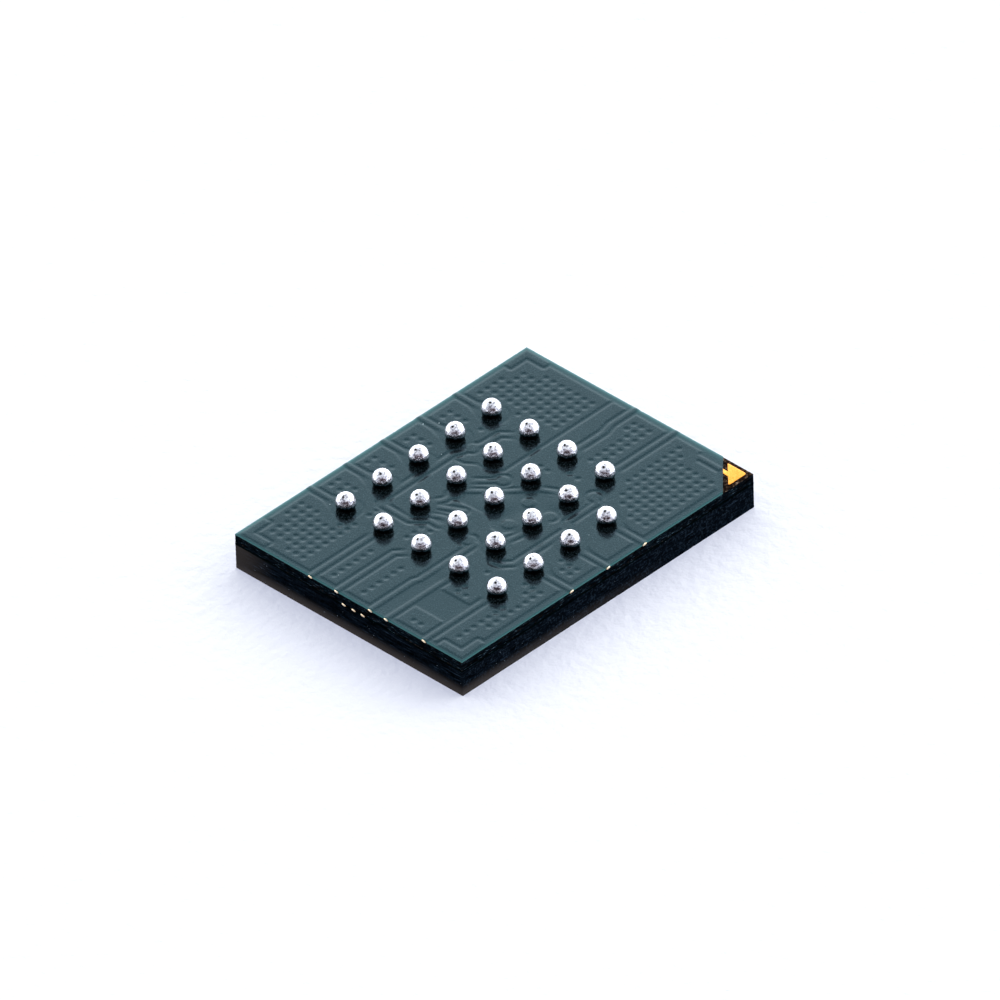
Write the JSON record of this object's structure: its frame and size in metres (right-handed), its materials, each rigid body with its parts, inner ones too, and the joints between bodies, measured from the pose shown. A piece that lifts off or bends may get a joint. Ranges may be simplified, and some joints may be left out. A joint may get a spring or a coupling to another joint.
{
  "type": "ball grid array chip",
  "caption": "Thin rectangular memory chip lying on its moulded face, solder balls up on a glossy laminate, with a gold triangle in one corner.",
  "frame": {"origin": "centre of the moulded face that the chip lies on", "axes": "+Z out of the moulded face's back towards the solder balls, X along the 8 mm side, Y along the 6 mm side, with the pin one mark in the corner at +X and -Y"},
  "size_m": [0.008, 0.006, 0.0012],
  "materials": {
    "mould_compound": "matte, saw cut sides",
    "silicon": "polished",
    "die_film": "matte",
    "gold": "satin",
    "copper": "satin",
    "solder_mask": "glossy",
    "laminate": "satin",
    "solder": "satin, lightly mottled"
  },
  "bodies": {
    "root": {"mould_cap": "mould_compound", "silicon_die": "silicon", "die_attach_film": "die_film", "bond_wires": "gold", "die_side_copper": "copper", "die_side_mask": "solder_mask", "laminate_core": "laminate", "core_vias": "copper", "signal_copper": "copper", "copper_pours": "copper", "corner_marks": "copper", "pin_one_mark": "gold", "ball_side_mask": "solder_mask", "ball_e1": "solder", "ball_e2": "solder", "ball_e3": "solder", "ball_e4": "solder", "ball_e5": "solder", "ball_d1": "solder", "ball_d2": "solder", "ball_d3": "solder", "ball_d4": "solder", "ball_d5": "solder", "ball_c1": "solder", "ball_c2": "solder", "ball_c3": "solder", "ball_c4": "solder", "ball_c5": "solder", "ball_b1": "solder", "ball_b2": "solder", "ball_b3": "solder", "ball_b4": "solder", "ball_b5": "solder", "ball_a2": "solder", "ball_a3": "solder", "ball_a4": "solder", "ball_a5": "solder"}
  },
  "joints": []
}
